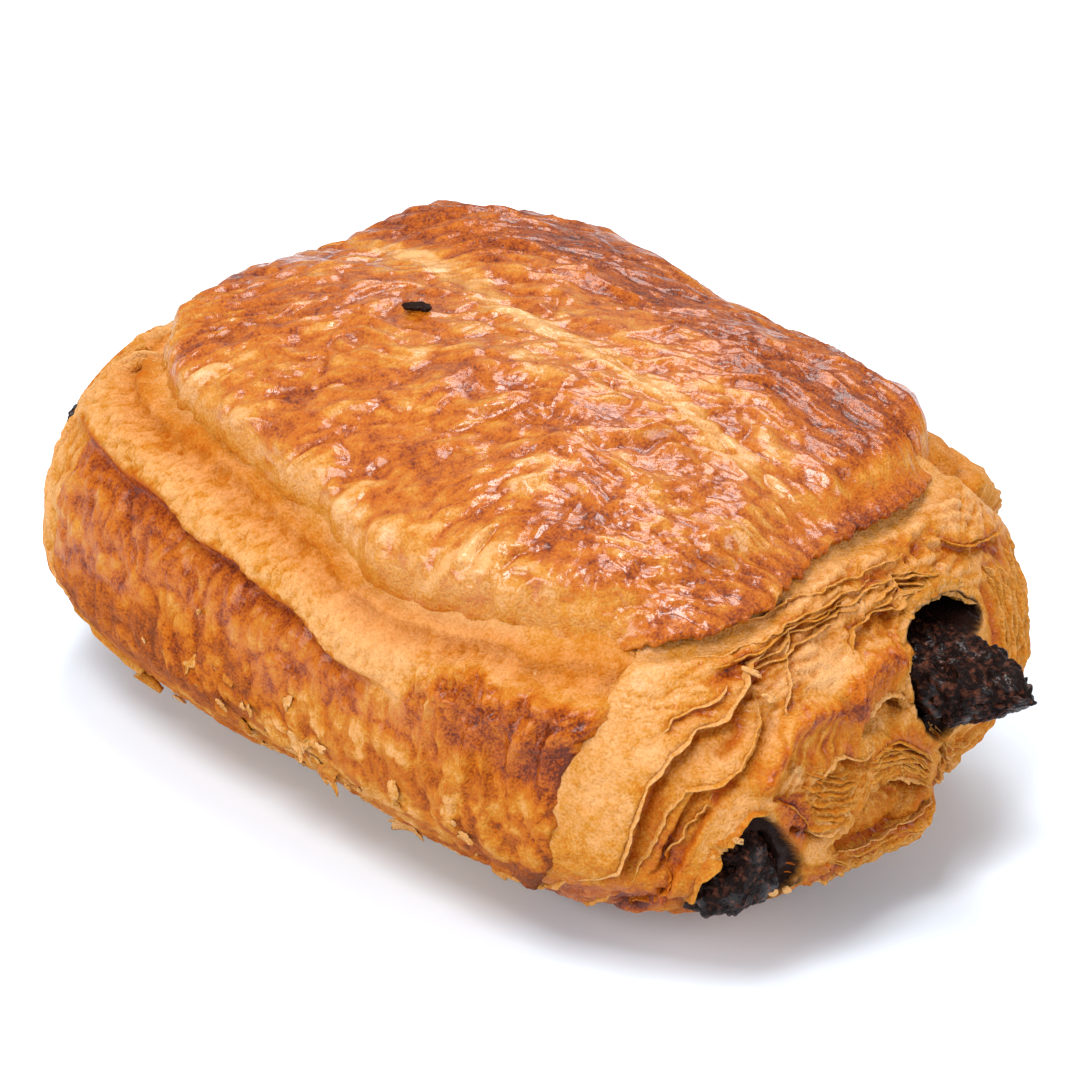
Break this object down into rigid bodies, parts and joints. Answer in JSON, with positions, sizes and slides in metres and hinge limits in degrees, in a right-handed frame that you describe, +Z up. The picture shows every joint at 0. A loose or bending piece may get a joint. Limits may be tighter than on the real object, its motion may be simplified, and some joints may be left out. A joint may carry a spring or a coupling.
{
  "type": "pain au chocolat",
  "caption": "Rolled rectangular puff pastry with a glazed domed top, layered folded ends and chocolate batons that run through it and show at the ends.",
  "frame": {"origin": "centre of the bounding box of the whole part, at its underside", "axes": "+X along the roll and the batons, towards the end where the right baton sticks out furthest; +Y across the roll; +Z up"},
  "size_m": [0.1054, 0.0664, 0.0443],
  "materials": {
    "baked_pastry": "egg-washed golden brown crust, glossy on top and matte on the ends",
    "dark_chocolate": "dark, crumbly, partly melted"
  },
  "bodies": {
    "root": {"pastry": "baked_pastry", "chocolate_baton_left": "dark_chocolate", "chocolate_baton_right": "dark_chocolate"}
  },
  "joints": []
}
